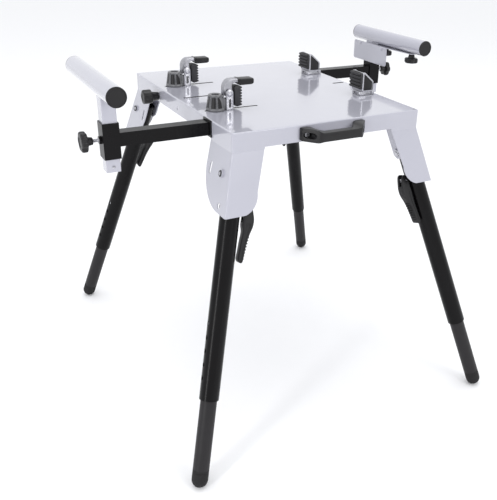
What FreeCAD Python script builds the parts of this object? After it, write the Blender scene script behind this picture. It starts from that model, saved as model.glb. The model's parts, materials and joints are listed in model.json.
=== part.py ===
import FreeCAD, Part
import math
import os

# Folding stand for a mitre saw: a pressed sheet-steel table on four folding,
# telescopic legs, with two sliding support arms and four clamps for the saw.
# Millimetres. X runs left to right, Y front to rear, Z up. The origin is on the
# floor under the middle of the table.

V = FreeCAD.Vector

# --- table ---------------------------------------------------------------
TABLE_W = 500.0          # along X
TABLE_D = 645.0          # along Y
TABLE_Z = 766.0          # upper face
SHEET = 2.0
APRON_Z = 727.0          # lower edge of the apron
FOLD_Z = 721.0           # where the corner brackets start to splay outwards
BRACKET_Z = 590.0        # lower edge of the corner brackets
CORNER_R = 5.0
SLOT_Y = 134.0           # outer slots, the middle one is at 0
SLOT_HALF_W = 4.0
LEFT_SLOT = (-233.0, -95.0)
RIGHT_SLOT = (205.0, 241.0)

# --- legs ----------------------------------------------------------------
SPLAY_X = 0.276          # sideways per unit of height
SPLAY_Y = 0.286
PIVOT = (236.5, 303.0, 665.0)
LEG_R, LEG_BORE_R = 22.5, 21.0
EXT_R, EXT_BORE_R = 19.0, 17.3
TUBE_TOP = -16.0         # distances along the leg are counted down from the pivot
TUBE_END = 507.0
EXT_TOP = 305.0
FOOT_S = 695.15          # centre of the domed foot
HOLE_S = 334.0           # top height hole
HOLE_PITCH = 31.0
HOLE_COUNT = 5
LOCK_S = 71.0            # lock pin and lever rivet
LEVER_B = 38.0           # rivet's distance inboard of the leg's axis
FOLD_SKEW = 9.0          # a folded leg passes inboard of the bracket opposite it
FOLD_RISE = {"upper": 2.0, "lower": -9.3}
# outline of a release lever: distance down the leg, distance inboard of its axis
LEVER_OUTLINE = ((62, 46), (58, 40), (60, 33), (66, 29), (76, 29), (90, 31), (108, 30), (124, 33), (146, 31),
                 (184, 28), (192, 32), (190, 39), (146, 43.5), (126, 49), (108, 55), (92, 55), (76, 51))
FIT = 0.05               # radial clearance of a shaft that turns or slides

# --- carry handle --------------------------------------------------------
HANDLE_Z = 746.0
HANDLE_HALF = 85.0
HANDLE_GRIP_HALF = 50.0
HANDLE_BOLTS = (-72.0, 72.0)
HANDLE_OUT = 46.0

# --- support arms --------------------------------------------------------
ARM = 30.0               # square tube
ARM_WALL = 2.0
ARM_Y = 194.0
ARM_Z = 746.5
ARM_INNER = 45.0         # inner end, past the middle of the table
POST_X = 474.4
POST = 31.0
SLEEVE = 36.0
SLEEVE_Z = (706.0, 784.0)
POST_Z0 = 677.0
BAR_R, BAR_BORE_R = 21.2, 19.2
BAR_Z = 853.0
BAR_Y = (-277.5, 58.5)   # left bar; the right one is turned half round
GUIDE_X = (-150.0, -125.0)
KNOB_Y = 137.0           # right arm's lock knob, on the left apron
KNOB_Z = 742.0

# --- material stop -------------------------------------------------------
STOP_KNOB_Y = (0.0, 126.0)
STOP_X = 451.0           # inner face of the hanging plate
STOP_TRAVEL = 12.0       # how far its slots let it slide

# --- clamps --------------------------------------------------------------
CLAMP_X = -205.0         # hold-down bolt of a cam clamp
JAW_X = 215.0            # middle of a fixed jaw's base
CAM_PIN = (30.0, 40.0)   # from the hold-down bolt and above the table
LEVER_SWEEP_R = 15.5     # clearance cut round the pin for the heel of the cam lever

os.makedirs("parts", exist_ok=True)


def box(x0, x1, y0, y1, z0, z1):
    """A block between two corners, given in either order."""
    return Part.makeBox(abs(x1 - x0), abs(y1 - y0), abs(z1 - z0), V(min(x0, x1), min(y0, y1), min(z0, z1)))


def rod(r, a, b):
    """A round bar from point a to point b."""
    return Part.makeCylinder(r, (b - a).Length, a, b - a)


def pipe(r, bore, a, b):
    """A round tube from point a to point b."""
    return rod(r, a, b).cut(rod(bore, a, b))


def prism(points, depth):
    """A flat outline pushed along the vector depth."""
    return Part.Face(Part.makePolygon(points + points[:1])).extrude(depth)


def slot_cut(x0, x1, y, half_w, z0, z1):
    """A round-ended slot along X."""
    body = box(x0 + half_w, x1 - half_w, y - half_w, y + half_w, z0, z1)
    for x in (x0 + half_w, x1 - half_w):
        body = body.fuse(Part.makeCylinder(half_w, z1 - z0, V(x, y, z0)))
    return body


def round_edges(shape, radius, wanted):
    """Fillet the edges whose middle passes the test."""
    edges = [e for e in shape.Edges if wanted(e.CenterOfMass, e)]
    return shape.makeFillet(radius, edges)


def along(axis):
    """A test for straight edges that run along an axis."""
    def test(_, edge):
        if len(edge.Vertexes) != 2:
            return False
        d = edge.Vertexes[1].Point - edge.Vertexes[0].Point
        return d.Length > 1e-6 and abs(abs(d.normalize().dot(axis)) - 1) < 1e-6
    return test


def half_turn(shape):
    """The same piece turned half round about the vertical axis."""
    turned = shape.copy()
    turned.rotate(V(0, 0, 0), V(0, 0, 1), 180)
    return turned


def save(node, shape):
    """Write one node, made of one or more separate solids."""
    shape = shape.removeSplitter() if len(shape.Solids) == 1 else shape
    assert shape.isValid() and shape.Solids, node
    shape = shape.Solids[0] if len(shape.Solids) == 1 else Part.makeCompound(shape.Solids)
    shape.exportStep(f"parts/{node}.step")


class Corner:
    """One leg's place: where it pivots, which way it points and how it folds."""

    def __init__(self, name, sx, sy, kind):
        self.name, self.sx, self.sy = name, sx, sy
        self.pivot = V(sx * PIVOT[0], sy * PIVOT[1], PIVOT[2])
        self.down = V(sx * SPLAY_X, sy * SPLAY_Y, -1).normalize()
        skew, rise = math.radians(FOLD_SKEW), math.radians(FOLD_RISE[kind])
        folded = V(-sx * math.sin(skew) * math.cos(rise), -sy * math.cos(skew) * math.cos(rise),
                   math.sin(rise))
        self.axis = self.down.cross(folded).normalize()
        self.angle = math.degrees(self.down.getAngle(folded))
        self.out = self.axis * (1 if self.axis.x * sx > 0 else -1)
        self.side = self.out.cross(self.down) * (1 if self.out.cross(self.down).y * sy > 0 else -1)

    def at(self, s, b=0.0, t=0.0):
        """A point s down the leg, b inboard of its axis and t towards the table's end."""
        return self.pivot + self.down * s - self.out * b + self.side * t


CORNERS = [Corner("front_left", -1, -1, "upper"), Corner("front_right", 1, -1, "lower"),
           Corner("rear_left", -1, 1, "lower"), Corner("rear_right", 1, 1, "upper")]


# --- table top and what is fixed to it -----------------------------------
def splayed_block(inset):
    """The outer form of the four corner brackets, from the fold line down."""
    drop = FOLD_Z - BRACKET_Z + 10
    wires = []
    for z, grow in ((FOLD_Z, 0.0), (FOLD_Z - drop, drop)):
        x = TABLE_W / 2 + grow * SPLAY_X - inset
        y = TABLE_D / 2 + grow * SPLAY_Y - inset
        wires.append(Part.makePolygon([V(-x, -y, z), V(x, -y, z), V(x, y, z), V(-x, y, z), V(-x, -y, z)]))
    return round_edges(Part.makeLoft(wires, True, True), CORNER_R - inset, lambda m, e: e.BoundBox.ZLength > 50)


def side_profile(sy):
    """Outline of a bracket seen from the side: straight, then one big curve to the bottom edge."""
    rear, curve_top, flat_y = sy * 207.0, V(0, sy * 215.0, 668.0), sy * 318.0
    middle = V(0, sy * 246.0, 616.0)
    end = sy * 400.0
    edges = [Part.LineSegment(V(0, rear, APRON_Z + SHEET), curve_top).toShape(),
             Part.Arc(curve_top, middle, V(0, flat_y, BRACKET_Z)).toShape(),
             Part.LineSegment(V(0, flat_y, BRACKET_Z), V(0, end, BRACKET_Z)).toShape(),
             Part.LineSegment(V(0, end, BRACKET_Z), V(0, end, APRON_Z + SHEET)).toShape(),
             Part.LineSegment(V(0, end, APRON_Z + SHEET), V(0, rear, APRON_Z + SHEET)).toShape()]
    return Part.Face(Part.Wire(edges))


def end_profile(sx):
    """Outline of a bracket seen from the front: a tapering flap with one rounded lower corner."""
    top, lower, corner = V(sx * 170.0, 0, APRON_Z + SHEET), V(sx * 200.9, 0, 634.0), V(sx * 211.5, 0, 605.5)
    flat_x, end = sx * 236.0, sx * 400.0
    edges = [Part.LineSegment(top, lower).toShape(),
             Part.Arc(lower, corner, V(flat_x, 0, BRACKET_Z)).toShape(),
             Part.LineSegment(V(flat_x, 0, BRACKET_Z), V(end, 0, BRACKET_Z)).toShape(),
             Part.LineSegment(V(end, 0, BRACKET_Z), V(end, 0, APRON_Z + SHEET)).toShape(),
             Part.LineSegment(V(end, 0, APRON_Z + SHEET), top).toShape()]
    return Part.Face(Part.Wire(edges))


def bracket_sheet():
    """The splayed sheet below the apron, trimmed to the four corner brackets."""
    upright = box(-TABLE_W / 2, TABLE_W / 2, -TABLE_D / 2, TABLE_D / 2, FOLD_Z, APRON_Z)
    upright = round_edges(upright, CORNER_R, along(V(0, 0, 1)))
    inner = box(-TABLE_W / 2 + SHEET, TABLE_W / 2 - SHEET, -TABLE_D / 2 + SHEET, TABLE_D / 2 - SHEET,
                FOLD_Z, APRON_Z)
    inner = round_edges(inner, CORNER_R - SHEET, along(V(0, 0, 1)))
    sheet = splayed_block(0).fuse(upright).cut(splayed_block(SHEET).fuse(inner))
    reach = 400.0
    brackets = []
    for c in CORNERS:
        inside_x, inside_y = c.sx * (TABLE_W / 2 - 2 * SHEET), c.sy * (TABLE_D / 2 - 2 * SHEET)
        side = side_profile(c.sy)
        side.translate(V(inside_x, 0, 0))
        end = end_profile(c.sx)
        end.translate(V(0, inside_y, 0))
        keep_side = side.extrude(V(c.sx * reach, 0, 0))
        keep_end = end.extrude(V(0, c.sy * reach, 0))
        brackets.append(sheet.common(keep_side.fuse(keep_end)))
    return brackets


def make_table():
    w, d = TABLE_W / 2, TABLE_D / 2
    outer = box(-w, w, -d, d, APRON_Z, TABLE_Z)
    outer = round_edges(outer, CORNER_R, along(V(0, 0, 1)))
    outer = round_edges(outer, 3.0, lambda c, e: abs(c.z - TABLE_Z) < 1e-6)
    inner = box(-w + SHEET, w - SHEET, -d + SHEET, d - SHEET, APRON_Z - 1, TABLE_Z - SHEET)
    table = outer.cut(round_edges(inner, CORNER_R - SHEET, along(V(0, 0, 1))))
    for bracket in bracket_sheet():
        table = table.fuse(bracket)
    for c in CORNERS:
        seat = rod(9.5, c.at(0, -24.0), c.at(0, -32.0))
        table = table.fuse(seat)
    for c in CORNERS:
        table = table.cut(rod(5.0 + FIT, c.at(0, -15), c.at(0, -45)))
        table = table.cut(rod(6.5, c.at(LOCK_S, -24), c.at(LOCK_S, -45)))
        slot_y = c.sy * 238.0
        for z in (657.0, 677.0):
            table = table.cut(rod(4.0, V(c.sx * 240, slot_y, z), V(c.sx * 300, slot_y, z)))
        table = table.cut(box(c.sx * 240, c.sx * 300, slot_y - 4, slot_y + 4, 657, 677))
    for y in (-SLOT_Y, 0.0, SLOT_Y):
        for x0, x1 in (LEFT_SLOT, RIGHT_SLOT):
            table = table.cut(slot_cut(x0, x1, y, SLOT_HALF_W, TABLE_Z - 5, TABLE_Z + 1))
    for sx in (-1, 1):
        hole = ARM / 2 + 2.0
        y = sx * ARM_Y
        table = table.cut(box(sx * (w - 5), sx * (w + 1), y - hole, y + hole, ARM_Z - hole, ARM_Z + hole))
        table = table.cut(rod(4.0, V(sx * (w - 5), 0, KNOB_Z), V(sx * (w + 1), 0, KNOB_Z)))
    table = table.cut(rod(4.0 + FIT, V(-w + 5, KNOB_Y, KNOB_Z), V(-w - 1, KNOB_Y, KNOB_Z)))
    for x in HANDLE_BOLTS:
        table = table.cut(rod(3.2, V(x, -d - 1, HANDLE_Z), V(x, -d + 5, HANDLE_Z)))
    save("table_top", table)


def make_inner_plates():
    """Strips welded under the table that hold the inboard end of each pivot bolt."""
    half_w, near, far = 18.0, 24.5, 27.5
    strips = []
    for c in CORNERS:
        corners = [c.at(-120, near, -half_w), c.at(8, near, -half_w), c.at(18, near, -half_w + 8),
                   c.at(18, near, half_w - 8), c.at(8, near, half_w), c.at(-120, near, half_w)]
        strip = prism(corners, c.out * (near - far))
        strip = strip.cut(box(-400, 400, -500, 500, TABLE_Z - SHEET, TABLE_Z + 60))
        strips.append(strip.cut(rod(5.0 + FIT, c.at(0, near - 2), c.at(0, far + 2))))
    save("leg_inner_plates", Part.makeCompound(strips))


def make_pivot_bolts():
    """A hexagon bolt and nut through each bracket, leg and inner plate."""
    pieces = []
    for c in CORNERS:
        shank = rod(5.0, c.at(0, -32.0), c.at(0, 38.0))
        head = rod(8.0, c.at(0, -32.0), c.at(0, -35.0))
        nut = hexagon(c.at(0, 27.5), -c.out, c.down, 17.0, 8.0)
        pieces.append(shank.fuse(head).fuse(nut))
    save("leg_pivot_bolts", Part.makeCompound(pieces))


def hexagon(base, axis, across, size, height):
    """A hexagon of the given size across flats, standing on base along axis."""
    u = across.cross(axis).normalize()
    v = axis.cross(u).normalize()
    r = size / math.sqrt(3)
    points = [base + u * (r * math.cos(a)) + v * (r * math.sin(a))
              for a in (math.radians(60 * k) for k in range(6))]
    return prism(points, axis * height)


# --- legs ----------------------------------------------------------------
def make_leg(c):
    tube = pipe(LEG_R, LEG_BORE_R, c.at(TUBE_TOP), c.at(TUBE_END))
    lip = pipe(LEG_BORE_R + 0.5, EXT_R + FIT, c.at(TUBE_END - 15), c.at(TUBE_END))
    tube = tube.fuse(lip)
    guide = rod(9.0, c.at(LOCK_S, 20.0), c.at(LOCK_S, 26.5)).cut(rod(LEG_BORE_R, c.at(TUBE_TOP), c.at(TUBE_END)))
    tube = tube.fuse(guide)
    tube = tube.cut(rod(5.0 + FIT, c.at(0, -30), c.at(0, 30)))
    tube = tube.cut(rod(5.0 + FIT, c.at(LOCK_S, -30), c.at(LOCK_S, 30)))
    for k in range(HOLE_COUNT):
        s = HOLE_S + k * HOLE_PITCH
        tube = tube.cut(rod(5.2, c.at(s, -15), c.at(s, -30)))
    save(f"{c.name}_leg_tube", tube)

    inner = pipe(EXT_R, EXT_BORE_R, c.at(EXT_TOP), c.at(FOOT_S - 24))
    inner = inner.cut(rod(4.6, c.at(HOLE_S, -12), c.at(HOLE_S, -25)))
    save(f"{c.name}_leg_extension", inner)

    foot = rod(EXT_R, c.at(FOOT_S - 24), c.at(FOOT_S))
    foot = foot.fuse(Part.makeSphere(EXT_R, c.at(FOOT_S)))
    foot = foot.fuse(rod(EXT_BORE_R, c.at(FOOT_S - 46), c.at(FOOT_S - 24)))
    save(f"{c.name}_foot", foot)

    button = rod(4.5, c.at(HOLE_S, -12.5), c.at(HOLE_S, -20.3))
    button = button.fuse(rod(6.5, c.at(HOLE_S, -11.0), c.at(HOLE_S, -13.5)))
    save(f"{c.name}_height_button", button)

    pin = rod(5.0, c.at(LOCK_S, -25.4), c.at(LOCK_S, 46.0))
    flat = 3.6
    for side in (-1, 1):
        cheek = [c.at(LOCK_S - 9, 26.8, side * flat), c.at(LOCK_S + 9, 26.8, side * flat),
                 c.at(LOCK_S + 9, 48, side * flat), c.at(LOCK_S - 9, 48, side * flat)]
        pin = pin.cut(prism(cheek, c.side * (side * 8)))
    rivet = rod(2.5, c.at(LOCK_S, LEVER_B, -11.0), c.at(LOCK_S, LEVER_B, 11.0))
    save(f"{c.name}_lock_pin", pin.fuse(rivet))

    width = 10.0
    outline = [c.at(s, b, -width) for s, b in LEVER_OUTLINE]
    lever = prism(outline, c.side * (2 * width))
    inside = [c.at(s, b, -4.0) for s, b in ((50, 60), (50, 20), (102, 20), (102, 47), (84, 47), (84, 60))]
    lever = lever.cut(prism(inside, c.side * 8.0))
    lever = lever.cut(rod(2.5 + FIT, c.at(LOCK_S, LEVER_B, -12), c.at(LOCK_S, LEVER_B, 12)))
    save(f"{c.name}_release_lever", lever)


# --- carry handle --------------------------------------------------------
def make_handle():
    face = -TABLE_D / 2
    back, front = face - 26.0, face - HANDLE_OUT
    half, grip = HANDLE_HALF, HANDLE_GRIP_HALF
    ends = 30.0
    outline = [(-half, face), (-half, face - 10), (-grip - 4, front), (grip + 4, front), (half, face - 10),
               (half, face), (half - ends + 2, face), (grip - 12, back), (-grip + 12, back), (-half + ends - 2, face)]
    body = prism([V(x, y, HANDLE_Z - 15) for x, y in outline], V(0, 0, 30))
    for z0, z1 in ((HANDLE_Z + 9, HANDLE_Z + 16), (HANDLE_Z - 16, HANDLE_Z - 12)):
        body = body.cut(box(-half - 1, half + 1, front - 1, face - 24, z0, z1))
    for x in HANDLE_BOLTS:
        body = body.cut(rod(3.2, V(x, face - 40, HANDLE_Z), V(x, face + 5, HANDLE_Z)))
        body = body.cut(rod(7.0, V(x, face - 40, HANDLE_Z), V(x, face - 7, HANDLE_Z)))
    save("carry_handle", body)
    bolts = []
    for x in HANDLE_BOLTS:
        shank = rod(3.2, V(x, face - 7, HANDLE_Z), V(x, face + 10, HANDLE_Z))
        head = rod(6.0, V(x, face - 12, HANDLE_Z), V(x, face - 7, HANDLE_Z))
        nut = hexagon(V(x, face + SHEET, HANDLE_Z), V(0, 1, 0), V(0, 0, 1), 10.0, 5.0)
        bolts.append(shank.fuse(head).fuse(nut))
    save("carry_handle_bolts", Part.makeCompound(bolts))


# --- support arms --------------------------------------------------------
def square_tube(half, wall, x0, x1, y, z):
    """A square tube along X."""
    inner = half - wall
    return box(x0, x1, y - half, y + half, z - half, z + half).cut(
        box(x0 - 1, x1 + 1, y - inner, y + inner, z - inner, z + inner))


def place(side, shape):
    """The pieces are drawn on the left; the right ones are turned half round."""
    return shape if side == "left" else half_turn(shape)


def lobed_knob(r, height, lobes=6):
    """A moulded hand knob's head, standing on the XY plane, with scalloped edge."""
    head = Part.makeCylinder(r, height)
    bite = r * 0.42
    for k in range(lobes):
        a = 2 * math.pi * (k + 0.5) / lobes
        head = head.cut(Part.makeCylinder(bite, height, V((r + bite * 0.62) * math.cos(a),
                                                          (r + bite * 0.62) * math.sin(a), 0)))
    return head


def turned(shape, base, axis):
    """Stand a piece drawn along +Z on base, along axis."""
    shape = shape.copy()
    shape.Placement = FreeCAD.Placement(base, FreeCAD.Rotation(V(0, 0, 1), axis))
    return shape


def screw_knob(stud, hub, head, r, base, axis):
    """A knob on a threaded stud: stud from base, then the hub and the lobed head."""
    shape = Part.makeCylinder(4.0, stud + 2.0)
    shape = shape.fuse(Part.makeCylinder(8.0, hub, V(0, 0, stud)))
    top = lobed_knob(r, head)
    top.translate(V(0, 0, stud + hub))
    return turned(shape.fuse(top), base, axis)


def make_arm(side):
    y, x = -ARM_Y, -POST_X
    half, wall = SLEEVE / 2, (SLEEVE - POST) / 2 - 0.3
    z0, z1 = SLEEVE_Z
    sleeve = box(x - half, x + half, y - half, y + half, z0, z1)
    arm = square_tube(ARM / 2, ARM_WALL, x + half, ARM_INNER, y, ARM_Z).fuse(sleeve)
    nut = hexagon(V(x - half, y, ARM_Z), V(-1, 0, 0), V(0, 0, 1), 15.0, 5.0)
    arm = arm.fuse(nut)
    inner = half - wall
    arm = arm.cut(box(x - inner, x + inner, y - inner, y + inner, z0 - 1, z1 + 1))
    arm = arm.cut(rod(4.0 + FIT, V(x - half - 6, y, ARM_Z), V(x - inner + 1, y, ARM_Z)))
    save(f"{side}_support_arm", place(side, arm))

    h = POST / 2
    post = box(x - h, x + h, y - h, y + h, POST_Z0, BAR_Z)
    post = round_edges(post, 2.0, along(V(0, 0, 1)))
    post = post.cut(box(x - h + 2, x + h - 2, y - h + 2, y + h - 2, POST_Z0 - 1, BAR_Z + 1))
    post = post.cut(rod(BAR_R, V(x, y - 40, BAR_Z), V(x, y + 40, BAR_Z)))
    post = post.cut(rod(3.5, V(x, y - h - 1, POST_Z0 + 12), V(x, y - h + 3, POST_Z0 + 12)))
    save(f"{side}_support_post", place(side, post))

    a, b = V(x, BAR_Y[0], BAR_Z), V(x, BAR_Y[1], BAR_Z)
    bar = pipe(BAR_R, BAR_BORE_R, a + V(0, 3, 0), b - V(0, 3, 0))
    if side == "right":
        for knob_y in STOP_KNOB_Y:
            bar = bar.cut(rod(4.0 + FIT, V(x, -knob_y, BAR_Z - BAR_R - 1), V(x, -knob_y, BAR_Z - 10)))
    save(f"{side}_support_bar", place(side, bar))
    caps = []
    for end, inward in ((a, V(0, 1, 0)), (b, V(0, -1, 0))):
        caps.append(rod(BAR_R, end, end + inward * 3).fuse(rod(BAR_BORE_R, end, end + inward * 14)))
    save(f"{side}_bar_caps", place(side, Part.makeCompound(caps)))

    knob = screw_knob(20.0, 12.0, 14.0, 22.5, V(x - h - 0.3, y, ARM_Z), V(-1, 0, 0))
    save(f"{side}_post_knob", place(side, knob))


def make_lock_knobs():
    """The right arm is locked from the left apron, the left arm from under its guide."""
    on_apron = V(-TABLE_W / 2 + 10, KNOB_Y, KNOB_Z)
    save("right_arm_lock_knob", screw_knob(12.0, 18.0, 24.0, 19.0, on_apron, V(-1, 0, 0)))
    under_arm = V((GUIDE_X[0] + GUIDE_X[1]) / 2, -ARM_Y, ARM_Z - ARM / 2 - 0.3)
    save("left_arm_lock_knob", screw_knob(12.0, 10.0, 14.0, 19.0, under_arm, V(0, 0, -1)))


def make_collars_and_guides():
    """Plastic collars where the arms leave the table, and the guides under its middle."""
    collars, guides = [], []
    half, body = ARM / 2 + 0.4, ARM / 2 + 2.0
    w = TABLE_W / 2
    flange = box(-w - 3, -w, -ARM_Y - 21, -ARM_Y + 21, ARM_Z - 19.4, ARM_Z + 19.4)
    sleeve = box(-w, -w + 22, -ARM_Y - body, -ARM_Y + body, ARM_Z - body, ARM_Z + body)
    bore = box(-w - 5, -w + 30, -ARM_Y - half, -ARM_Y + half, ARM_Z - half, ARM_Z + half)
    collar = flange.fuse(sleeve).cut(bore)
    top = TABLE_Z - SHEET
    guide = box(*GUIDE_X, -ARM_Y - 30, -ARM_Y + 30, ARM_Z - half - 2, top)
    guide = guide.cut(box(-155, -120, -ARM_Y - 31, -ARM_Y - half - 2, ARM_Z - half - 3, top - 2))
    guide = guide.cut(box(-155, -120, -ARM_Y + half + 2, -ARM_Y + 31, ARM_Z - half - 3, top - 2))
    guide = guide.cut(box(-155, -120, -ARM_Y - half, -ARM_Y + half, ARM_Z - half, top + 1))
    for side in ("left", "right"):
        collars.append(place(side, collar))
        guides.append(place(side, guide))
        if side == "left":
            x = (GUIDE_X[0] + GUIDE_X[1]) / 2
            guides[-1] = guides[-1].cut(rod(4.0 + FIT, V(x, -ARM_Y, ARM_Z - half + 1), V(x, -ARM_Y, ARM_Z - half - 3)))
    save("arm_collars", Part.makeCompound(collars))
    save("arm_guides", Part.makeCompound(guides))


# --- material stop on the right bar --------------------------------------
def make_stop():
    z = BAR_Z - BAR_R - 0.3
    flange = [(STOP_X, 160), (STOP_X, 95), (462, -14), (497, -14), (499, 95), (499, 160)]
    plate = prism([V(x, y, z - 2) for x, y in flange], V(0, 0, 2))
    hanging = box(STOP_X, STOP_X + 2, 92, 262, 776, z)
    hanging = round_edges(hanging, 6.0, lambda c, e: along(V(1, 0, 0))(c, e))
    plate = plate.fuse(hanging)
    for knob_y in STOP_KNOB_Y:
        plate = plate.cut(slot_cut(POST_X - 4.4, POST_X + STOP_TRAVEL + 4.8, knob_y, 4.4, z - 5, z + 5))
    save("stop_plate", plate)
    for name, knob_y in zip(("near", "far"), STOP_KNOB_Y):
        knob = screw_knob(12.0, 10.0, 14.0, 20.0, V(POST_X, knob_y, z + 8.0), V(0, 0, -1))
        save(f"stop_{name}_knob", knob)


# --- clamps --------------------------------------------------------------
def make_cam_clamp(name, y):
    """A sliding clamp with a cam lever that pushes a ribbed pad against the saw's base."""
    x, z = CLAMP_X, TABLE_Z
    pin_x, pin_z = x + CAM_PIN[0], z + CAM_PIN[1]
    gap = 0.3
    base = Part.makeCone(23.0, 17.0, 37.0, V(x, y, z + gap))
    base = base.fuse(box(x, x + 38, y - 12.5, y + 12.5, z + gap, z + 26))
    base = base.fuse(box(x, x + 14, y - 15, y + 15, z + gap, z + 36))
    base = base.cut(box(pin_x - 12, pin_x + 15, y - 9, y + 9, z + 9, z + 60))
    base = base.cut(rod(LEVER_SWEEP_R, V(pin_x, y - 11.5, pin_z), V(pin_x, y + 11.5, pin_z)))
    base = base.cut(rod(9.0, V(x, y, z + 22), V(x, y, z + 60))).cut(rod(4.0, V(x, y, z - 1), V(x, y, z + 60)))
    save(f"{name}_clamp_base", base)

    steel = []
    for sy in (-1, 1):
        cheek = box(pin_x - 9, pin_x + 9, y + sy * 12.8, y + sy * 15.6, z + gap, pin_z)
        cheek = cheek.fuse(rod(9.0, V(pin_x, y + sy * 12.8, pin_z), V(pin_x, y + sy * 15.6, pin_z)))
        steel.append(cheek)
    pin = rod(4.0, V(pin_x, y - 15.6, pin_z), V(pin_x, y + 15.6, pin_z))
    for sy in (-1, 1):
        pin = pin.fuse(rod(7.5, V(pin_x, y + sy * 15.6, pin_z), V(pin_x, y + sy * 18.0, pin_z)))
    bolt = rod(3.8, V(x, y, z - 16), V(x, y, z + 24)).fuse(rod(7.0, V(x, y, z + 22.2), V(x, y, z + 28)))
    plate = box(x - 11, x + 11, y - 11, y + 11, z - SHEET - gap - 3, z - SHEET - gap)
    nut = hexagon(V(x, y, z - SHEET - gap - 3), V(0, 0, -1), V(1, 0, 0), 13.0, 7.0)
    steel[0] = steel[0].fuse(pin).fuse(steel[1])
    save(f"{name}_clamp_steelwork", Part.makeCompound([steel[0], bolt.fuse(plate).fuse(nut)]))

    half = 10.5
    outline = [(-9, -4), (-11, 8), (-9.5, 18), (-3, 27), (8, 31), (27, 30), (27, 23), (13, 22), (8.5, 18), (9, 8),
               (9, -4), (0, -9)]
    lever = prism([V(pin_x + dx, y - half, pin_z + dz) for dx, dz in outline], V(0, 2 * half, 0))
    lever = lever.cut(rod(4.0 + FIT, V(pin_x, y - 20, pin_z), V(pin_x, y + 20, pin_z)))
    save(f"{name}_clamp_lever", lever)
    grip = box(pin_x + 27, pin_x + 64, y - 13, y + 13, pin_z + 15.2, pin_z + 30)
    save(f"{name}_clamp_grip", round_edges(grip, 4.0, lambda c, e: True))

    face = x + 63.0
    pad = box(face - 19, face - 5, y - 12, y + 12, z + 6, z + 54.5)
    pad = round_edges(pad, 5.0, along(V(0, 1, 0)))
    for k in range(7):
        rib = z + 10.5 + 6.6 * k
        pad = pad.fuse(box(face - 6, face, y - 12, y + 12, rib - 2.1, rib + 2.1))
    stem = rod(5.0, V(pin_x + 10.5, y, z + 20), V(face - 16, y, z + 20))
    save(f"{name}_clamp_pad", pad.fuse(stem))


def make_fixed_jaw(name, y):
    """A sliding jaw with a ribbed rubber pad that faces the cam clamp."""
    x, z = JAW_X, TABLE_Z
    gap = 0.3
    back = x - 21.0
    jaw = box(x - 24, x + 24, y - 17, y + 17, z + gap, z + 11)
    for sy in (-1, 1):
        gusset = [V(back, y + sy * 22, z + 11), V(back, y + sy * 22, z + 60), V(back + 8, y + sy * 22, z + 60),
                  V(x + 15, y + sy * 22, z + 36), V(x + 15, y + sy * 22, z + 11)]
        jaw = jaw.fuse(prism(gusset, V(0, -sy * 3, 0)))
    jaw = jaw.fuse(box(back, back + 4, y - 24.5, y + 24.5, z + 11, z + 60))
    jaw = jaw.fuse(box(x + 11, x + 15, y - 22, y + 22, z + 11, z + 36))
    for sy in (-1, 1):
        jaw = jaw.cut(box(x - 4, x + 16, y + sy * 18, y + sy * 12, z + 3, z + 8.5))
    jaw = jaw.cut(box(x - 25, x - 19, y - 9, y + 9, z + 3, z + 8.5))
    jaw = jaw.fuse(rod(3.8, V(x, y, z - 12), V(x, y, z + 2)))
    jaw = jaw.fuse(box(x - 10, x + 10, y - 10, y + 10, z - 12, z - SHEET - gap))
    save(f"{name}_jaw_body", jaw)

    pad = box(back - 6, back, y - 24.5, y + 24.5, z + 18, z + 61)
    pad = round_edges(pad, 5.0, along(V(1, 0, 0)))
    for k in range(5):
        rib = z + 22.5 + 8.4 * k
        pad = pad.fuse(box(back - 10, back - 5, y - 23.5, y + 23.5, rib - 2.6, rib + 2.6))
    save(f"{name}_jaw_pad", pad)


make_table()
make_inner_plates()
make_pivot_bolts()
for corner in CORNERS:
    make_leg(corner)
make_handle()
for arm_side in ("left", "right"):
    make_arm(arm_side)
make_collars_and_guides()
make_lock_knobs()
make_stop()
make_cam_clamp("rear", SLOT_Y)
make_cam_clamp("front", -SLOT_Y)
make_fixed_jaw("rear", SLOT_Y)
make_fixed_jaw("front", -SLOT_Y)
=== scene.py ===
"""Folding stand for a mitre saw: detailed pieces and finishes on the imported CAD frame.

Pieces are drawn in millimetres in axes of their own and placed in the row frame, in metres.
"""
import json
import math

import bmesh
import bpy
from mathutils import Matrix, Vector


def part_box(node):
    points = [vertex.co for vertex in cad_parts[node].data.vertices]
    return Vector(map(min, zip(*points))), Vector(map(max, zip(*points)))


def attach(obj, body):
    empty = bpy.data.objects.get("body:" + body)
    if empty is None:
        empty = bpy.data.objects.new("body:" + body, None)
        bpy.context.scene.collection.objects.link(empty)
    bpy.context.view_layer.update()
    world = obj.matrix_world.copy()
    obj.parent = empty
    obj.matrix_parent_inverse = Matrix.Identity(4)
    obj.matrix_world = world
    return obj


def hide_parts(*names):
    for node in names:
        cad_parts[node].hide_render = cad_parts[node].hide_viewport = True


MM = 0.001
TABLE_Z = 0.766                   # upper face of the table
CORNERS = ("front_left", "front_right", "rear_left", "rear_right")
OUTLINE_XZ = Matrix(((1, 0, 0, 0), (0, 0, 1, 0), (0, 1, 0, 0), (0, 0, 0, 1)))   # thickness along Y
OUTLINE_YZ = Matrix(((0, 0, 1, 0), (1, 0, 0, 0), (0, 1, 0, 0), (0, 0, 0, 1)))   # thickness along X

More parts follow.
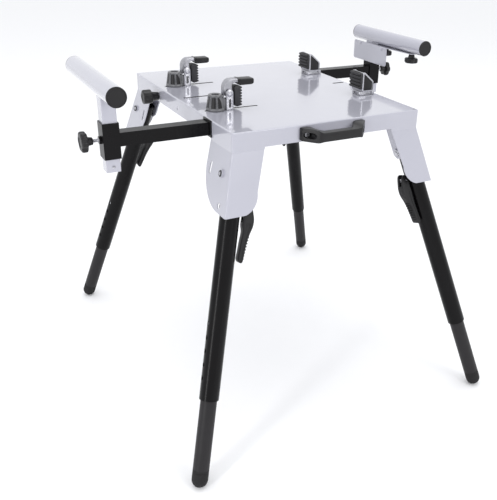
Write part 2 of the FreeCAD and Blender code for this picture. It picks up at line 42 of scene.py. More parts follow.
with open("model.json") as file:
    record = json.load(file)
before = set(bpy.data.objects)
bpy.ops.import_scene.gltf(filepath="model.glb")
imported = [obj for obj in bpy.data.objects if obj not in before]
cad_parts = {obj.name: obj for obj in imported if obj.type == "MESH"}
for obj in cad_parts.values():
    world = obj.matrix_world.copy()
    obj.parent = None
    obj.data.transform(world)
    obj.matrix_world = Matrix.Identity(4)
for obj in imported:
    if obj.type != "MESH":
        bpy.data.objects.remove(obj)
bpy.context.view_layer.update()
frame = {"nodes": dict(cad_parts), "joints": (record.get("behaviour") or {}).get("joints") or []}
joints = {joint["name"]: joint for joint in frame["joints"]}


# --- drawing -------------------------------------------------------------
def local_frame(origin, x_axis, z_axis):
    """Takes millimetres in a piece's own axes to metres in the row frame."""
    z = Vector(z_axis).normalized()
    x = Vector(x_axis)
    x = (x - z * x.dot(z)).normalized()
    turn = Matrix((x, z.cross(x), z)).transposed().to_4x4()
    return Matrix.Translation(origin) @ turn @ Matrix.Scale(MM, 4)


def skin(bm, loops, caps=True):
    """Faces between loops of equal length, and over the two ends."""
    for lower, upper in zip(loops, loops[1:]):
        count = len(lower)
        for k in range(count):
            n = (k + 1) % count
            bm.faces.new((lower[k], lower[n], upper[n], upper[k]))
    if caps:
        bm.faces.new(loops[0][::-1])
        bm.faces.new(loops[-1])


def counterclockwise(points):
    points = [Vector(p) for p in points]
    area = sum(a.x * b.y - b.x * a.y for a, b in zip(points, points[1:] + points[:1]))
    return points if area > 0 else points[::-1]


def inset(points, distance):
    """The outline moved inwards, corner by corner."""
    moved = []
    for k, p in enumerate(points):
        before = (p - points[k - 1]).normalized()
        after = (points[(k + 1) % len(points)] - p).normalized()
        inward = Vector((-before.y, before.x)) + Vector((-after.y, after.x))
        inward.normalize()
        moved.append(p + inward * distance / max(0.5, inward.dot(Vector((-before.y, before.x)))))
    return moved


def round_corners(points, radius, steps=4):
    """The outline with a short curve in place of each corner."""
    points = [Vector(p) for p in points]
    rounded = []
    for k, p in enumerate(points):
        to_last, to_next = points[k - 1] - p, points[(k + 1) % len(points)] - p
        cut = min(radius, 0.48 * to_last.length, 0.48 * to_next.length)
        start, end = p + to_last.normalized() * cut, p + to_next.normalized() * cut
        for i in range(steps + 1):
            t = i / steps
            rounded.append(start * (1 - t) ** 2 + p * 2 * t * (1 - t) + end * t * t)
    return rounded


def smooth_loop(points, steps=5):
    """A closed Catmull-Rom curve through the points."""
    points = [Vector(p) for p in points]
    count, curve = len(points), []
    for k in range(count):
        a, b, c, d = (points[(k + i) % count] for i in (-1, 0, 1, 2))
        for i in range(steps):
            t = i / steps
            curve.append(0.5 * (2 * b + (c - a) * t + (2 * a - 5 * b + 4 * c - d) * t ** 2
                                + (3 * b - a - 3 * c + d) * t ** 3))
    return curve


def slab(bm, outline, z0, z1, edge=0.5, turn=Matrix(), steps=2):
    """An outline given thickness, with rounded rims."""
    outline = counterclockwise(outline)
    levels = []
    for k in range(steps + 1):
        a = math.pi / 2 * k / steps
        levels.append((edge * (1 - math.sin(a)), z0 + edge * (1 - math.cos(a))))
    for k in range(steps + 1):
        a = math.pi / 2 * k / steps
        levels.append((edge * (1 - math.cos(a)), z1 - edge * (1 - math.sin(a))))
    skin(bm, [[bm.verts.new(turn @ Vector((p.x, p.y, z))) for p in inset(outline, d)] for d, z in levels])


def rectangle(x0, x1, y0, y1, radius=0.0):
    corners = [(x0, y0), (x1, y0), (x1, y1), (x0, y1)]
    return round_corners(corners, radius) if radius else corners


def block(bm, x, y, z, edge=0.8, corner=0.0):
    """A block between pairs of coordinates, rounded all round."""
    slab(bm, rectangle(*x, *y, corner or edge), z[0], z[1], edge)


def lathe(bm, profile, turn=Matrix(), segments=40, wave=None):
    """(radius, height) points spun about local Z; wave(angle, radius, height) may change the radius."""
    rings = []
    for r, z in profile:
        if r == 0:
            rings.append([bm.verts.new(turn @ Vector((0, 0, z)))])
            continue
        ring = []
        for k in range(segments):
            a = 2 * math.pi * k / segments
            reach = wave(a, r, z) if wave else r
            ring.append(bm.verts.new(turn @ Vector((reach * math.cos(a), reach * math.sin(a), z))))
        rings.append(ring)
    for lower, upper in zip(rings, rings[1:]):
        for k in range(segments):
            n = (k + 1) % segments
            corners = [lower[k % len(lower)], lower[n % len(lower)],
                       upper[n % len(upper)], upper[k % len(upper)]]
            bm.faces.new(list(dict.fromkeys(corners)))


def aim(base, axis):
    """Stands something drawn along local Z on base, along axis, still in the piece's own axes."""
    turn = Vector((0, 0, 1)).rotation_difference(Vector(axis)).to_matrix().to_4x4()
    return Matrix.Translation(base) @ turn


def rod(bm, r, base, end, edge=0.4, segments=28):
    base, end = Vector(base), Vector(end)
    length = (end - base).length
    profile = [(0, 0), (r - edge, 0), (r, edge), (r, length - edge), (r - edge, length), (0, length)]
    lathe(bm, profile, aim(base, end - base), segments)


def hexagon(across):
    r = across / math.sqrt(3)
    return [(r * math.cos(math.radians(60 * k)), r * math.sin(math.radians(60 * k))) for k in range(6)]


def stadium(x0, x1, half_width, steps=10):
    """A round-ended outline along X."""
    points = []
    for centre, start in ((x1 - half_width, -90), (x0 + half_width, 90)):
        for k in range(steps + 1):
            a = math.radians(start + 180 * k / steps)
            points.append((centre + half_width * math.cos(a), half_width * math.sin(a)))
    return points


def shape(name, draw, place):
    """An object from a drawing function, not yet on any body."""
    bm = bmesh.new()
    draw(bm)
    bmesh.ops.recalc_face_normals(bm, faces=bm.faces)
    mesh = bpy.data.meshes.new(name)
    bm.to_mesh(mesh)
    bm.free()
    mesh.transform(place)
    obj = bpy.data.objects.new(name, mesh)
    bpy.context.scene.collection.objects.link(obj)
    return obj


def carve(obj, draw, place):
    """Cuts a drawn shape out of obj."""
    cutter = shape("cutter", draw, place)
    cut = obj.modifiers.new("cut", "BOOLEAN")
    cut.object, cut.operation, cut.solver = cutter, "DIFFERENCE", "EXACT"
    graph = bpy.context.evaluated_depsgraph_get()
    mesh = bpy.data.meshes.new_from_object(obj.evaluated_get(graph))
    if not mesh.polygons:
        raise RuntimeError(f"cutting {obj.name} left nothing")
    obj.modifiers.clear()
    obj.data = mesh
    bpy.data.objects.remove(cutter)
    return obj


def finished(obj, body, material, stands_for=(), sharp=34.0):
    """Material, shading and body for a piece that is in place."""
    obj.data.materials.clear()
    obj.data.materials.append(material)
    obj.data.shade_smooth()
    obj.data.set_sharp_from_angle(angle=math.radians(sharp))
    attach(obj, body)
    if stands_for:
        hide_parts(*stands_for)
    return obj


def piece(name, draw, place, body, material, stands_for=(), sharp=34.0):
    return finished(shape(name, draw, place), body, material, stands_for, sharp)


# --- finishes ------------------------------------------------------------
def finish(slot, colour, spread=0.04, metallic=0.0, specular=0.5, roughness=0.4,
           rough_spread=0.08, grain=900.0, relief=0.00005, stretch=(1, 1, 1), coat=0.0,
           coat_roughness=0.04, patch=14.0, name=None):
    """A procedural finish: broad colour variation, fine grain in roughness and relief."""
    material = bpy.data.materials.new(name or slot)
    material["slot"] = slot
    material.use_nodes = True
    tree = material.node_tree
    shader = tree.nodes["Principled BSDF"]
    new, link = tree.nodes.new, tree.links.new
    place = new("ShaderNodeTexCoord")
    mapping = new("ShaderNodeMapping")
    mapping.inputs["Scale"].default_value = stretch
    link(place.outputs["Object"], mapping.inputs["Vector"])

    broad = new("ShaderNodeTexNoise")
    broad.inputs["Scale"].default_value = patch
    broad.inputs["Detail"].default_value = 5.0
    broad.inputs["Roughness"].default_value = 0.6
    fine = new("ShaderNodeTexNoise")
    fine.inputs["Scale"].default_value = grain
    fine.inputs["Detail"].default_value = 3.0
    link(mapping.outputs["Vector"], broad.inputs["Vector"])
    link(mapping.outputs["Vector"], fine.inputs["Vector"])

    ramp = new("ShaderNodeValToRGB")
    ramp.color_ramp.elements[0].position, ramp.color_ramp.elements[1].position = 0.3, 0.7
    for element, change in zip(ramp.color_ramp.elements, (1 - spread, 1 + spread)):
        element.color = (*(min(1.0, c * change) for c in colour), 1.0)
    link(broad.outputs["Fac"], ramp.inputs["Fac"])
    link(ramp.outputs["Color"], shader.inputs["Base Color"])

    both = new("ShaderNodeMath")
    both.operation = "ADD"
    link(broad.outputs["Fac"], both.inputs[0])
    link(fine.outputs["Fac"], both.inputs[1])
    rough = new("ShaderNodeMapRange")
    rough.inputs["From Min"].default_value, rough.inputs["From Max"].default_value = 0.7, 1.3
    rough.inputs["To Min"].default_value = max(0.02, roughness - rough_spread)
    rough.inputs["To Max"].default_value = min(1.0, roughness + rough_spread)
    link(both.outputs["Value"], rough.inputs["Value"])
    link(rough.outputs["Result"], shader.inputs["Roughness"])

    bump = new("ShaderNodeBump")
    bump.inputs["Strength"].default_value = 0.6
    bump.inputs["Distance"].default_value = relief
    link(fine.outputs["Fac"], bump.inputs["Height"])
    link(bump.outputs["Normal"], shader.inputs["Normal"])

    shader.inputs["Metallic"].default_value = metallic
    shader.inputs["Specular IOR Level"].default_value = specular
    shader.inputs["Coat Weight"].default_value = coat
    shader.inputs["Coat Roughness"].default_value = coat_roughness
    return material


light_paint = finish("light_paint", (0.40, 0.40, 0.455), 0.02, specular=0.3, roughness=0.2, rough_spread=0.04,
                     grain=420.0, relief=0.000006, coat=1.0, coat_roughness=0.02, patch=5.0)
leg_paint = finish("black_paint", (0.003, 0.0027, 0.0031), 0.15, specular=0.15, roughness=0.24,
                   rough_spread=0.05, grain=700.0, relief=0.00001)
matt_paint = finish("black_paint", (0.017, 0.0158, 0.0172), 0.15, specular=0.22, roughness=0.42,
                    rough_spread=0.06, grain=1100.0, relief=0.00004, name="black_paint_matt")
black_plastic = finish("black_plastic", (0.010, 0.0095, 0.0103), 0.18, specular=0.3, roughness=0.36,
                       grain=1500.0, relief=0.00008)
grey_plastic = finish("black_plastic", (0.009, 0.0087, 0.0095), 0.15, specular=0.3, roughness=0.46,
                      grain=1300.0, relief=0.0001, name="dark_grey_plastic")
foot_rubber = finish("foot_rubber", (0.012, 0.0115, 0.012), 0.2, specular=0.25, roughness=0.66,
                     grain=900.0, relief=0.00012)
pad_rubber = finish("pad_rubber", (0.030, 0.0295, 0.032), 0.2, specular=0.35, roughness=0.5,
                    grain=1100.0, relief=0.0001)
bright_steel = finish("bright_steel", (0.50, 0.50, 0.53), 0.1, metallic=1.0, roughness=0.3, grain=650.0,
                      relief=0.00002, stretch=(1, 1, 0.2), patch=60.0)
clamp_silver = finish("clamp_silver", (0.36, 0.36, 0.385), 0.12, metallic=1.0, roughness=0.32, grain=900.0,
                      relief=0.0001, patch=50.0)
clamp_casting = finish("clamp_casting", (0.13, 0.13, 0.137), 0.25, metallic=0.3, roughness=0.3,
                       grain=800.0, relief=0.00015, patch=45.0)
jaw_casting = finish("jaw_casting", (0.46, 0.46, 0.49), 0.12, metallic=0.8, roughness=0.32, grain=900.0,
                     relief=0.00012, patch=45.0)


# --- hand knobs ----------------------------------------------------------
KNOB_BITE = 0.17                  # depth of a scallop, as a part of the radius


def hand_knob(node, body, axis, stud, hub, radius, head, lobes=6, neck_r=8.0):
    """A scalloped knob with its hub on a threaded stud, drawn from the stud's hidden end."""
    joint = next(j for j in frame["joints"] if j["child"] == body)
    axis, point = Vector(axis), Vector(joint["pos_m"])
    low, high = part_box(node)
    base = point + axis * min((corner - point).dot(axis) for corner in (low, high))
    place = local_frame(base, (0, 1, 0) if abs(axis.x) > 0.5 else (1, 0, 0), axis)
    neck, top = stud + hub, stud + hub + head

    def wave(angle, r, _):
        bite = (0.5 - 0.5 * math.cos(lobes * angle)) ** 1.5
        return r * (1 - KNOB_BITE * bite * (r / radius) ** 5)

    def draw_head(bm):
        profile = [(0, stud), (neck_r - 0.8, stud), (neck_r, stud + 0.8), (neck_r * 1.15, neck - 4),
                   (neck_r * 1.25, neck - 1.2), (neck_r * 1.4, neck),
                   (radius - 2.6, neck + 0.4), (radius - 0.8, neck + 1.4), (radius, neck + 3.4),
                   (radius, top - 3.8), (radius - 0.9, top - 1.7), (radius - 2.8, top - 0.5),
                   (radius * 0.62, top), (radius * 0.5, top - 0.1), (radius * 0.46, top - 1.2),
                    (0, top - 1.0)]
        lathe(bm, profile, segments=96, wave=wave)

    def draw_stud(bm):
        pitch, turns = 1.25, int(stud / 1.25) + 1
        rings = [(0, 0)] + [(4.0, i * pitch / 4) for i in range(turns * 4 + 1)] + [(0, turns * pitch)]
        lathe(bm, rings, segments=24, wave=lambda a, r, z: thread(a, z, pitch))

    def thread(angle, z, pitch):
        phase = (z / pitch - angle / (2 * math.pi)) % 1.0
        return 4.0 - 0.55 * (1 - abs(2 * phase - 1))

    piece(node + "_head", draw_head, place, body, black_plastic, (node,), sharp=50)
    piece(node + "_stud", draw_stud, place, body, bright_steel, sharp=60)


for side, outward in (("left", -1), ("right", 1)):
    hand_knob(f"{side}_post_knob", f"{side}_post_knob", (outward, 0, 0), 20, 12, 22.5, 14)
hand_knob("right_arm_lock_knob", "right_arm_lock", (-1, 0, 0), 12, 18, 19, 24, 5, 10.5)
hand_knob("left_arm_lock_knob", "left_arm_lock", (0, 0, -1), 12, 10, 19, 14)
for which in ("near", "far"):
    hand_knob(f"stop_{which}_knob", f"stop_{which}_knob", (0, 0, -1), 12, 10, 20, 14)


# --- bar caps ------------------------------------------------------------
def make_bar_caps(side):
    low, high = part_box(f"{side}_bar_caps")
    x, z = (low.x + high.x) / 2, (low.z + high.z) / 2
    profile = [(0, -14), (19.0, -14), (19.0, -3.0), (21.1, -3.0), (21.2, -1.4), (20.8, -0.5), (20.0, 0.0),
               (18.2, -0.1), (17.6, -0.9), (16.9, -1.1), (12.0, -0.6), (0, -0.4)]

    def draw(bm):
        for y, way in ((low.y, -1), (high.y, 1)):
            lathe(bm, profile, aim((0, y / MM, 0), (0, way, 0)), 64)

    piece(f"{side}_bar_end_caps", draw, Matrix.Translation((x, 0, z)) @ Matrix.Scale(MM, 4),
          f"{side}_post", black_plastic, (f"{side}_bar_caps",))


for side in ("left", "right"):
    make_bar_caps(side)


# --- legs ----------------------------------------------------------------
FOOT_S, FOOT_R = 695.15, 19.0
LEVER_OUTLINE = ((62, 46), (58, 40), (60, 33), (66, 29), (76, 29), (90, 30.5), (108, 30), (124, 33),
                 (146, 31), (168, 29.5), (184, 28), (192, 32), (190, 39), (168, 41.5), (146, 44),
                 (126, 49), (108, 54.5), (92, 55), (76, 51))


def leg_directions(corner):
    """A leg's pivot, and the directions down it and inboard."""
    return (Vector(joints[f"{corner}_leg_fold"]["pos_m"]),
            Vector(joints[f"{corner}_extension_slide"]["axis"]),
            Vector(joints[f"{corner}_lock_pin_slide"]["axis"]))


def make_leg_details(corner):
    """The foot and the release lever, in axes down the leg, inboard and sideways."""
    pivot, down, inboard = leg_directions(corner)
    along_leg = local_frame(pivot, inboard, down)
    lever_axes = local_frame(pivot, down, down.cross(inboard))

    def draw_foot(bm):
        profile = [(0, FOOT_S - 40), (17.0, FOOT_S - 40), (17.0, FOOT_S - 24), (18.7, FOOT_S - 24),
                   (19.0, FOOT_S - 23.4), (19.0, FOOT_S - 19), (18.3, FOOT_S - 18.3), (18.3, FOOT_S - 17),
                   (19.0, FOOT_S - 16.3), (19.0, FOOT_S)]
        profile += [(FOOT_R * math.cos(math.radians(a)), FOOT_S + FOOT_R * math.sin(math.radians(a)))
                    for a in range(9, 90, 9)]
        lathe(bm, profile + [(0, FOOT_S + FOOT_R)], segments=48)

    piece(f"{corner}_rubber_foot", draw_foot, along_leg, f"{corner}_extension", foot_rubber,
          (f"{corner}_foot",))

    lever = shape(f"{corner}_lock_lever",
                  lambda bm: slab(bm, smooth_loop(LEVER_OUTLINE, 4), -10, 10, 1.0, steps=2), lever_axes)
    fork = [(50, 60), (50, 20), (102, 20), (102, 46), (84, 46), (84, 60)]
    carve(lever, lambda bm: slab(bm, fork, -4, 4, 0.01), lever_axes)
    for z in (-10, 10):
        # shallow panel pressed into each cheek
        panel = round_corners([(100, 37), (124, 38), (146, 36), (178, 33.5), (182, 35.5), (146, 40.5),
                               (122, 45), (102, 49)], 4)
        carve(lever, lambda bm: slab(bm, panel, z - 0.9, z + 0.9, 0.1), lever_axes)
    finished(lever, f"{corner}_lever", grey_plastic, (f"{corner}_release_lever",))

    def draw_ribs(bm):
        count = 8
        for k in range(count):
            s = 134 + 7.0 * k
            b = 47.6 - (s - 134) * 0.147
            rod(bm, 1.9, (s, b - 0.6, -8.4), (s, b - 0.6, 8.4), 0.8, 14)

    piece(f"{corner}_lever_ribs", draw_ribs, lever_axes, f"{corner}_lever", grey_plastic)


for corner in CORNERS:
    make_leg_details(corner)


def make_pivot_bolts(corner):
    """A dished black washer on the bracket, round a silver bolt with a nut inboard."""
    axes = local_frame(*leg_directions(corner))
    washer = [(5.2, -31.8), (7.4, -31.8), (7.6, -32.6), (7.2, -33.8), (6.2, -34.3), (5.4, -33.4),
              (5.2, -31.8)]
    piece(f"{corner}_pivot_washer", lambda bm: lathe(bm, washer, segments=40), axes, "table", black_plastic)

    def draw_bolt(bm):
        end = [(0, -34.6), (3.0, -34.5), (4.6, -33.8), (5.0, -32.6), (5.0, 37.2), (4.2, 38.0), (0, 38.0)]
        lathe(bm, end, segments=28)
        slab(bm, hexagon(17.0), 27.6, 35.4, 0.7)

    stands_for = ("leg_pivot_bolts",) if corner == CORNERS[0] else ()
    piece(f"{corner}_pivot_bolt", draw_bolt, axes, "table", bright_steel, stands_for)


for corner in CORNERS:
    make_pivot_bolts(corner)


# --- carry handle --------------------------------------------------------
# from the end to the middle: distance from the middle, front, back, top and bottom of the section
HANDLE_SECTIONS = ((85.0, 8.0, 0, 13.0, -13.0), (84.3, 9.6, 0, 14.4, -14.4), (82.5, 12.2, 0, 15.0, -15.0),
                   (75, 21.4, 0, 15, -15), (68, 29.8, 0, 15, -15), (62, 37, 0, 14.6, -15),
                   (58, 41.6, 0.1, 13.6, -14.6), (55, 44.4, 2.6, 12.0, -13.8), (52, 45.8, 6.8, 10.6, -12.8),
                   (48, 46, 12.3, 9.6, -12.2), (44, 46, 17.8, 9.1, -12), (41, 46, 21.8, 9, -12),
                   (38, 46, 24.9, 9, -12), (34, 46, 26, 9, -12), (17, 46, 26, 9, -12), (0, 46, 26, 9, -12))
HANDLE_Z = 0.746


def make_handle():
    face_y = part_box("carry_handle")[1].y
    axes = local_frame((0, face_y, HANDLE_Z), (-1, 0, 0), (0, 0, 1))

    def draw(bm):
        left = [(-x, *rest) for x, *rest in HANDLE_SECTIONS]
        right = [(x, *rest) for x, *rest in HANDLE_SECTIONS[-2::-1]]
        loops = []
        for x, front, back, top, bottom in left + right:
            corners = rectangle(back, front, bottom, top, min(2.2, (front - back) * 0.45))
            loops.append([bm.verts.new((x, p.x, p.y)) for p in corners])
        skin(bm, loops)

    handle = shape("carry_handle_body", draw, axes)
    for x in (-72, 72):
        pocket = [(x + px, py) for px, py in stadium(-10.5, 10.5, 7.0)]
        carve(handle, lambda bm: slab(bm, pocket, 7, 60, 0.01, OUTLINE_XZ), axes)
    finished(handle, "table", black_plastic, ("carry_handle",), sharp=40)


make_handle()


# --- cam clamps ----------------------------------------------------------
# Millimetres from the point of the table under the lever's pin: X across the table, Z up.
PIN_Z = 40.0
BOSS_X = -30.0
HEEL_SWEEP_R = 15.5               # relief round the pin for the heel of the lever


def make_cam_clamp(which):
    """A panelled boss and housing, steel cheeks, a cam lever with its grip, and a ribbed pad."""
    pin = Vector(joints[f"{which}_clamp_lever_lift"]["pos_m"])
    axes = Matrix.Translation((pin.x, pin.y, TABLE_Z)) @ Matrix.Scale(MM, 4)
    over_boss = Matrix.Translation((BOSS_X, 0, 0))

    def panelled(angle, r, z):
        inside = max(0.0, min(1.0, (z - 4.5) / 2.0)) * max(0.0, min(1.0, (33.5 - z) / 2.0))
        panel = min(1.0, max(0.0, 0.72 - math.cos(7 * angle)) * 4)
        return r - 3.2 * inside * panel if r > 16.5 else r

    def draw_boss(bm):
        cone = [(23.0 - 6.0 * z / 37.0, float(z)) for z in range(6, 35, 2)]
        profile = [(4.2, 0.3), (22.6, 0.3), (23.0, 0.8), (23.0, 3.6), (22.3, 4.4)] + cone
        profile += [(17.2, 35.6), (16.6, 36.7), (15.6, 37.2), (10.2, 37.2), (9.2, 36.6), (9.0, 35.6),
                    (9.0, 22.2), (4.2, 22.0), (4.2, 0.3)]
        lathe(bm, profile, over_boss, 140, panelled)

    boss = shape(f"{which}_clamp_boss", draw_boss, axes)
    carve(boss, lambda bm: rod(bm, HEEL_SWEEP_R, (0, -11.5, PIN_Z), (0, 11.5, PIN_Z), 0.01, 48), axes)
    finished(boss, f"{which}_clamp", clamp_casting, sharp=40)

    def draw_base(bm):
        wall = [(-26, 0.3), (8, 0.3), (8, 24.4), (-6, 24.2), (-12, 27.5), (-16, 35.5), (-26, 35.5)]
        for y0, y1 in ((-12.5, -9.0), (9.0, 12.5)):
            slab(bm, round_corners(wall, 1.6), y0, y1, 0.9, OUTLINE_XZ)
        block(bm, (-16, 8), (-9.2, 9.2), (0.3, 9), 0.4)
        block(bm, (-21, -16.3), (-15, 15), (29, 36), 1.0)
        for y0, y1 in ((-15, -9.5), (9.5, 15)):
            slab(bm, round_corners([(-30, 0.3), (-16.5, 0.3), (-16.5, 31), (-19, 35.6), (-30, 35.6)], 2.0),
                 y0, y1, 1.2, OUTLINE_XZ)

    piece(f"{which}_clamp_housing", draw_base, axes, f"{which}_clamp", clamp_casting,
          (f"{which}_clamp_base",), sharp=40)

    # A black cone just inside the boss, showing in its recessed panels: painted shade darkening the recesses.
    def draw_panel_painted_shade(bm):
        lathe(bm, [(23.0 - 6.0 * z / 37.0 - 2.6, float(z)) for z in (7, 20, 33)], over_boss, 64)

    piece(f"{which}_clamp_panel_painted_shade", draw_panel_painted_shade, axes, f"{which}_clamp", black_plastic)

    def cheek_outline():
        top = [(9 * math.cos(math.radians(a)), PIN_Z + 9 * math.sin(math.radians(a)))
               for a in range(0, 181, 15)]
        return [(-9, 0.4), (9, 0.4)] + top

    for name, y0, y1 in (("near", -15.6, -12.8), ("far", 12.8, 15.6)):
        cheek = shape(f"{which}_clamp_{name}_cheek",
                      lambda bm: slab(bm, cheek_outline(), y0, y1, 0.5, OUTLINE_XZ), axes)
        window = round_corners([(-3.2, 6), (3.2, 6), (3.2, 27), (-3.2, 27)], 3.0)
        carve(cheek, lambda bm: slab(bm, window, y0 - 1, y1 + 1, 0.01, OUTLINE_XZ), axes)
        finished(cheek, f"{which}_clamp", bright_steel)

    def draw_steel(bm):
        rod(bm, 4.0, (0, -15.6, PIN_Z), (0, 15.6, PIN_Z))
        head = [(0, -0.1), (8.3, -0.1), (8.5, 0.4), (8.2, 1.3), (6.6, 2.2), (3.4, 2.4), (3.2, 1.2), (0, 1.1)]
        for way in (-1, 1):
            lathe(bm, head, aim((0, way * 15.6, PIN_Z), (0, way, 0)), 40)
        socket = [(0, 22.2), (7.0, 22.2), (7.0, 27.2), (6.3, 28.0), (3.6, 28.0), (3.3, 27.0),
                  (3.3, 24.0), (0, 24.0)]
        lathe(bm, socket, over_boss, 40)
        rod(bm, 3.8, (BOSS_X, 0, -16), (BOSS_X, 0, 22.3))
        block(bm, (BOSS_X - 11, BOSS_X + 11), (-11, 11), (-5.3, -2.3), 0.5, 1.5)
        slab(bm, hexagon(13.0), -12.3, -5.3, 0.6, over_boss)

    piece(f"{which}_clamp_fasteners", draw_steel, axes, f"{which}_clamp", bright_steel,
          (f"{which}_clamp_steelwork",))

    def draw_lever(bm):
        outline = [(-6, -7.5), (-9.5, -2), (-11, 7), (-10.2, 15), (-7, 22.5), (-1, 28), (7, 30.6), (27, 29.8),
                   (27, 23.2), (15, 22.6), (9.6, 19.5), (8, 14), (9.0, 6), (9.0, -1), (7.4, -4.4),
                   (3.9, -6.9), (0, -8.6)]
        raised = [(x, z + PIN_Z) for x, z in outline]
        slab(bm, smooth_loop(raised, 4), -10.5, 10.5, 1.4, OUTLINE_XZ, 3)

    piece(f"{which}_clamp_cam_lever", draw_lever, axes, f"{which}_clamp_lever", clamp_silver,
          (f"{which}_clamp_lever",), sharp=38)

    def draw_grip(bm):
        body = [(25, 16.5), (29, 15.4), (58, 15.6), (63.2, 17.5), (64, 22), (63.8, 27.6), (62, 29.6),
                (25, 30)]
        slab(bm, round_corners([(x, z + PIN_Z) for x, z in body], 2.0), -13, 13, 1.6, OUTLINE_XZ, 3)
        lip = [(23, 24), (29, 24), (29, 31), (23, 31)]
        slab(bm, round_corners([(x, z + PIN_Z) for x, z in lip], 1.5), -13.0, 13.0, 1.0, OUTLINE_XZ)

    piece(f"{which}_clamp_lever_grip", draw_grip, axes, f"{which}_clamp_lever", black_plastic,
          (f"{which}_clamp_grip",), sharp=45)

    def draw_pad(bm):
        face = [(26.0, 6.8)]
        for k in range(7):
            z = 10.5 + 6.6 * k
            face += [(26.8, z - 3.1), (31.6, z - 2.3), (33.0, z - 1.1), (33.0, z + 1.1), (31.6, z + 2.3),
                     (26.8, z + 3.1)]
        back = [(25.6, 53.8), (24, 54.5), (17, 54.5), (14, 51), (14, 12), (16, 7.5), (20, 6)]
        slab(bm, face + back, -12, 12, 0.4, OUTLINE_XZ)
        rod(bm, 5.0, (10.5, 0, 20), (17, 0, 20))

    piece(f"{which}_clamp_ribbed_pad", draw_pad, axes, f"{which}_clamp_pad", pad_rubber,
          (f"{which}_clamp_pad",), sharp=40)


# --- fixed jaws ----------------------------------------------------------
def make_jaw(which):
    """Millimetres from the middle of the jaw's base, Z up from the table."""
    low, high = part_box(f"{which}_jaw_body")
    axes = Matrix.Translation(((low.x + high.x) / 2, (low.y + high.y) / 2, TABLE_Z)) @ Matrix.Scale(MM, 4)
    body = f"{which}_jaw"

    base = shape(f"{which}_jaw_base", lambda bm: block(bm, (-24, 24), (-17, 17), (0.3, 11), 0.8, 3), axes)
    side_window = rectangle(-4, 16, 3.0, 8.5, 1.0)
    for y0, y1 in ((-18, -12), (12, 18)):
        carve(base, lambda bm: slab(bm, side_window, y0, y1, 0.01, OUTLINE_XZ), axes)
    front_window = rectangle(-9, 9, 3.0, 8.5, 1.0)
    carve(base, lambda bm: slab(bm, front_window, -25, -19, 0.01, OUTLINE_YZ), axes)
    finished(base, body, jaw_casting)

    def draw_core(bm):
        web = [(-18, 10.6), (-18, 56), (-14, 56), (12, 35), (12, 10.6)]
        for y0, y1 in ((-21.1, -20.0), (20.0, 21.1)):
            slab(bm, web, y0, y1, 0.2, OUTLINE_XZ)
        rod(bm, 3.6, (0, 0, -12), (0, 0, 2))
        block(bm, (-10, 10), (-10, 10), (-12, -2.3), 0.8, 2)

    piece(f"{which}_jaw_core", draw_core, axes, body, black_plastic, (f"{which}_jaw_body",))

    def draw_walls(bm):
        slab(bm, rectangle(-24.5, 24.5, 10.8, 60, 4), -21, -17, 0.8, OUTLINE_YZ)
        slab(bm, rectangle(-22, 22, 10.8, 36, 3), 11, 15, 0.8, OUTLINE_YZ)

    piece(f"{which}_jaw_walls", draw_walls, axes, body, jaw_casting)

    gusset = round_corners([(-21, 10.8), (-21, 60), (-13, 60), (15, 36), (15, 10.8)], 2.5)
    opening = round_corners([(-17.6, 14), (-17.6, 56.5), (-14.8, 56.5), (12.2, 34.0), (12.2, 14)], 1.5)
    for name, y0, y1 in (("near", -22, -19), ("far", 19, 22)):
        rim = shape(f"{which}_jaw_{name}_gusset", lambda bm: slab(bm, gusset, y0, y1, 0.7, OUTLINE_XZ), axes)
        carve(rim, lambda bm: slab(bm, opening, y0 - 1, y1 + 1, 0.01, OUTLINE_XZ), axes)
        finished(rim, body, jaw_casting)

    def draw_screw(bm):
        slab(bm, hexagon(7.0), 11.0, 15.0, 0.5, Matrix.Translation((19.5, 0, 0)))
        lathe(bm, [(0, 10.8), (4.2, 10.8), (4.3, 11.3), (4.1, 11.8), (0, 11.8)],
              Matrix.Translation((19.5, 0, 0)), 32)

    piece(f"{which}_jaw_screw", draw_screw, axes, body, bright_steel)

    def draw_pad(bm):
        back_edge = [(-24.5, 18), (24.5, 18), (24.5, 56), (20.5, 59.6), (10, 61), (-10, 61), (-20.5, 59.6),
                     (-24.5, 56)]
        slab(bm, round_corners(back_edge, 3), -27, -21, 1.2, OUTLINE_YZ, 3)
        for k in range(5):
            z = 22.5 + 8.4 * k
            half = 23.5 if k < 4 else 21.5
            slab(bm, stadium(-half, half, 2.9), -31, -25, 1.4,
                 Matrix.Translation((0, 0, z)) @ OUTLINE_YZ, 3)

    piece(f"{which}_jaw_ribbed_pad", draw_pad, axes, body, pad_rubber, (f"{which}_jaw_pad",), sharp=40)


for which in ("rear", "front"):
    make_cam_clamp(which)
    make_jaw(which)


# --- table slots: black linings as painted shade -------------------------
# Millimetres from the middle of the table's upper face.
SLOT_Y = (-134.0, 0.0, 134.0)
SLOT_X = ((-233.0, -95.0), (205.0, 241.0))
SLOT_HALF_W = 4.0
SHADE_LINING_SKINS = (0.02, 0.16)       # its outer and inner faces, in from the slot's wall
SHADE_LINING_TOP, SHADE_LINING_BOTTOM = -0.04, -2.0


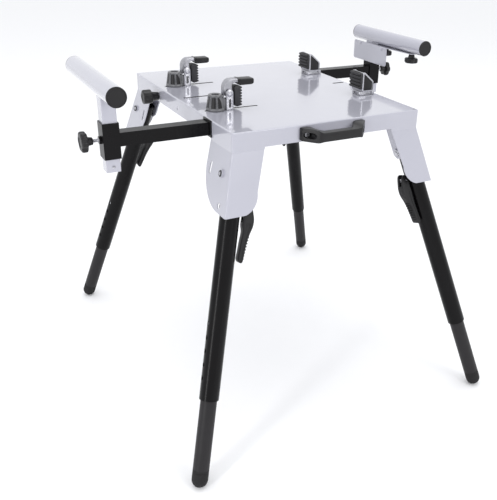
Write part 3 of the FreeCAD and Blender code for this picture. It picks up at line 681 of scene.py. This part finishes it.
def make_slot_painted_shade():
    """A thin black lining round each slot's walls: painted shade, darkening the slots as if the table's
    underside were in shade.
    """
    def draw(bm):
        for y in SLOT_Y:
            for x0, x1 in SLOT_X:
                outer, inner = (stadium(x0 + d, x1 - d, SLOT_HALF_W - d) for d in SHADE_LINING_SKINS)
                section = ((outer, SHADE_LINING_BOTTOM), (outer, SHADE_LINING_TOP), (inner, SHADE_LINING_TOP),
                           (inner, SHADE_LINING_BOTTOM), (outer, SHADE_LINING_BOTTOM))
                skin(bm, [[bm.verts.new((px, y + py, z)) for px, py in ring] for ring, z in section],
                     caps=False)
        bmesh.ops.remove_doubles(bm, verts=bm.verts, dist=0.001)

    axes = Matrix.Translation((0, 0, TABLE_Z)) @ Matrix.Scale(MM, 4)
    # the black lining is painted shade inside the slots
    piece("table_slot_painted_shade", draw, axes, "table", black_plastic)


make_slot_painted_shade()


# --- stop plate darts ----------------------------------------------------
def make_darts():
    """Two pressed darts that stiffen the bend of the stop plate."""
    low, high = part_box("stop_plate")
    axes = Matrix.Translation((low.x, 0, high.z)) @ Matrix.Scale(MM, 4)

    def draw(bm):
        for y in (116, 230):
            ridge = [(-3.2, -5.0), (0.4, -13.0), (0.4, -1.0), (-1.6, -2.2)]
            slab(bm, ridge, y - 4.0, y + 4.0, 0.8, OUTLINE_XZ)

    piece("stop_plate_darts", draw, axes, "stop_plate", light_paint)


make_darts()


# --- finishes of the CAD nodes that stay ---------------------------------
def cad_finish(node):
    if node in ("table_top", "leg_inner_plates", "stop_plate") or node.endswith(
            ("_support_post", "_support_bar")):
        return light_paint
    if node.endswith(("_leg_tube", "_support_arm")):
        return leg_paint
    if node.endswith("_leg_extension"):
        return matt_paint
    if node.endswith(("_button", "_lock_pin", "_bolts")) or node == "arm_guides":
        return bright_steel
    return black_plastic


for name, obj in frame["nodes"].items():
    if not obj.hide_render:
        obj.data.materials.clear()
        obj.data.materials.append(cad_finish(name))


# --- floor, light and camera ---------------------------------------------
def make_floor():
    mesh = bpy.data.meshes.new("floor")
    half = 14.0
    mesh.from_pydata([(-half, -half, 0), (half, -half, 0), (half, half, 0), (-half, half, 0)], [],
                     [(0, 1, 2, 3)])
    floor = bpy.data.objects.new("floor", mesh)
    bpy.context.scene.collection.objects.link(floor)
    mesh.materials.append(finish("floor", (0.88, 0.88, 0.885), 0.004, roughness=0.9, rough_spread=0.02,
                                 relief=0.00002))


def soft_light(name, place, target, width, height, power):
    light = bpy.data.lights.new(name, "AREA")
    light.shape, light.size, light.size_y, light.energy = "RECTANGLE", width, height, power
    obj = bpy.data.objects.new(name, light)
    obj.location = place
    obj.rotation_euler = (Vector(target) - Vector(place)).to_track_quat("-Z", "Y").to_euler()
    obj.visible_camera = False
    bpy.context.scene.collection.objects.link(obj)


def make_world():
    world = bpy.data.worlds.new("studio")
    world.use_nodes = True
    background = world.node_tree.nodes["Background"]
    background.inputs["Color"].default_value = (0.97, 0.98, 1.0, 1.0)
    background.inputs["Strength"].default_value = 1.06
    bpy.context.scene.world = world


CAMERA_AT = Vector((-0.8306, -1.5912, 1.1876))
CAMERA_AZIMUTH, CAMERA_DOWN, CAMERA_ROLL = (math.radians(a) for a in (30.56, 25.9, -2.01))
LENS, SHIFT = 49.04, (-0.0972, -0.012)


def make_camera():
    data = bpy.data.cameras.new("camera")
    data.sensor_fit, data.sensor_width, data.lens = "AUTO", 36.0, LENS
    data.shift_x, data.shift_y = SHIFT
    forward = Vector((math.sin(CAMERA_AZIMUTH) * math.cos(CAMERA_DOWN),
                      math.cos(CAMERA_AZIMUTH) * math.cos(CAMERA_DOWN), -math.sin(CAMERA_DOWN)))
    level = Vector((math.cos(CAMERA_AZIMUTH), -math.sin(CAMERA_AZIMUTH), 0.0))
    below = forward.cross(level)
    right = level * math.cos(CAMERA_ROLL) + below * math.sin(CAMERA_ROLL)
    up = right.cross(forward)
    camera = bpy.data.objects.new("camera", data)
    matrix = Matrix((right, up, -forward)).transposed().to_4x4()
    matrix.translation = CAMERA_AT
    camera.matrix_world = matrix
    bpy.context.scene.collection.objects.link(camera)
    bpy.context.scene.camera = camera


make_floor()
make_world()
soft_light("overhead", (0.4, 0.6, 4.6), (0, 0, 0.3), 4.0, 3.6, 60)
soft_light("front", (1.2, -3.6, 2.2), (0, 0, 0.5), 1.6, 1.6, 34)
soft_light("left_strip", (-2.2, -1.2, 1.1), (0, 0, 0.5), 0.2, 2.0, 16)
make_camera()
bpy.context.scene.view_settings.view_transform = "Standard"
